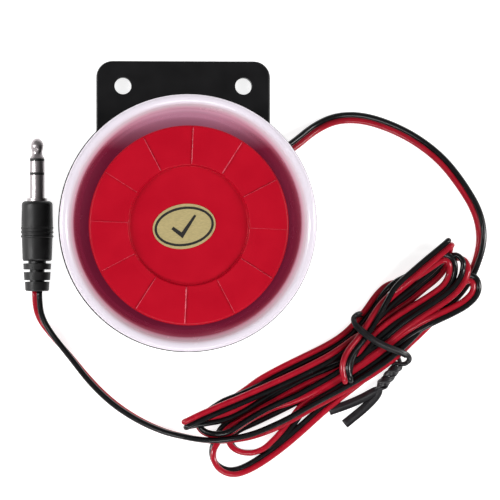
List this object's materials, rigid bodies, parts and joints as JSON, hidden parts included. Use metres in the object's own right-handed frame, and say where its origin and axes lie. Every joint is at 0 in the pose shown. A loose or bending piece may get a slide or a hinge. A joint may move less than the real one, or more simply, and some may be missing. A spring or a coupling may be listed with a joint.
{
  "type": "alarm siren",
  "caption": "Round wired alarm siren with a flat screw plate, white horn, red reflector cap, and a folded twin lead ending in a 3.5 mm jack plug.",
  "frame": {"origin": "on the horn's axis, in the plane of the mounting plate's back face", "axes": "+Z out of the horn's mouth, +Y from the horn's axis towards the plate's screw holes, +X to the side the lead leaves from"},
  "size_m": [0.1112, 0.0996, 0.038],
  "materials": {
    "black_abs": "satin moulded black ABS",
    "white_abs": "glossy white ABS with a lilac cast",
    "red_abs": "satin red ABS",
    "gold_foil": "brushed gold foil",
    "black_rubber": "matt",
    "lead_pvc": "glossy PVC, one red and one black conductor",
    "brass": "plain",
    "ceramic": "silvered",
    "foam": "closed-cell foam",
    "board": "phenolic paper laminate",
    "black_resin": "moulded resin",
    "ferrite": "sintered ferrite",
    "copper": "enamelled copper wire",
    "sleeve_blue": "shrink sleeve",
    "resistor_body": "lacquered",
    "zinc_steel": "zinc plated",
    "black_steel": "black oxide",
    "black_tie": "satin PVC over wire",
    "nickel": "nickel plated",
    "black_pvc": "satin moulded PVC"
  },
  "bodies": {
    "root": {"outer_shell": "black_abs", "mounting_base": "black_abs", "horn_insert": "white_abs", "reflector_cap": "red_abs", "inspection_sticker": "gold_foil", "cord_grommet": "black_rubber", "cord_tails": "lead_pvc", "driver_housing": "black_abs", "piezo_brass_disc": "brass", "piezo_ceramic": "ceramic", "driver_gasket": "foam", "piezo_leads": "lead_pvc", "circuit_board": "board", "siren_chip": "black_resin", "switching_transistor": "black_resin", "booster_core": "ferrite", "booster_winding": "copper", "capacitor": "sleeve_blue", "resistors": "resistor_body", "protection_diode": "black_resin", "board_screws": "zinc_steel", "base_screws": "black_steel", "cord_lead_siren": "lead_pvc", "cord_hank": "lead_pvc", "cord_lead_plug": "lead_pvc", "twist_tie": "black_tie", "plug_tip": "nickel", "plug_ring": "nickel", "plug_sleeve": "nickel", "plug_collar": "nickel", "plug_insulators": "black_resin", "plug_body": "black_pvc", "plug_boot": "black_pvc"}
  },
  "joints": []
}
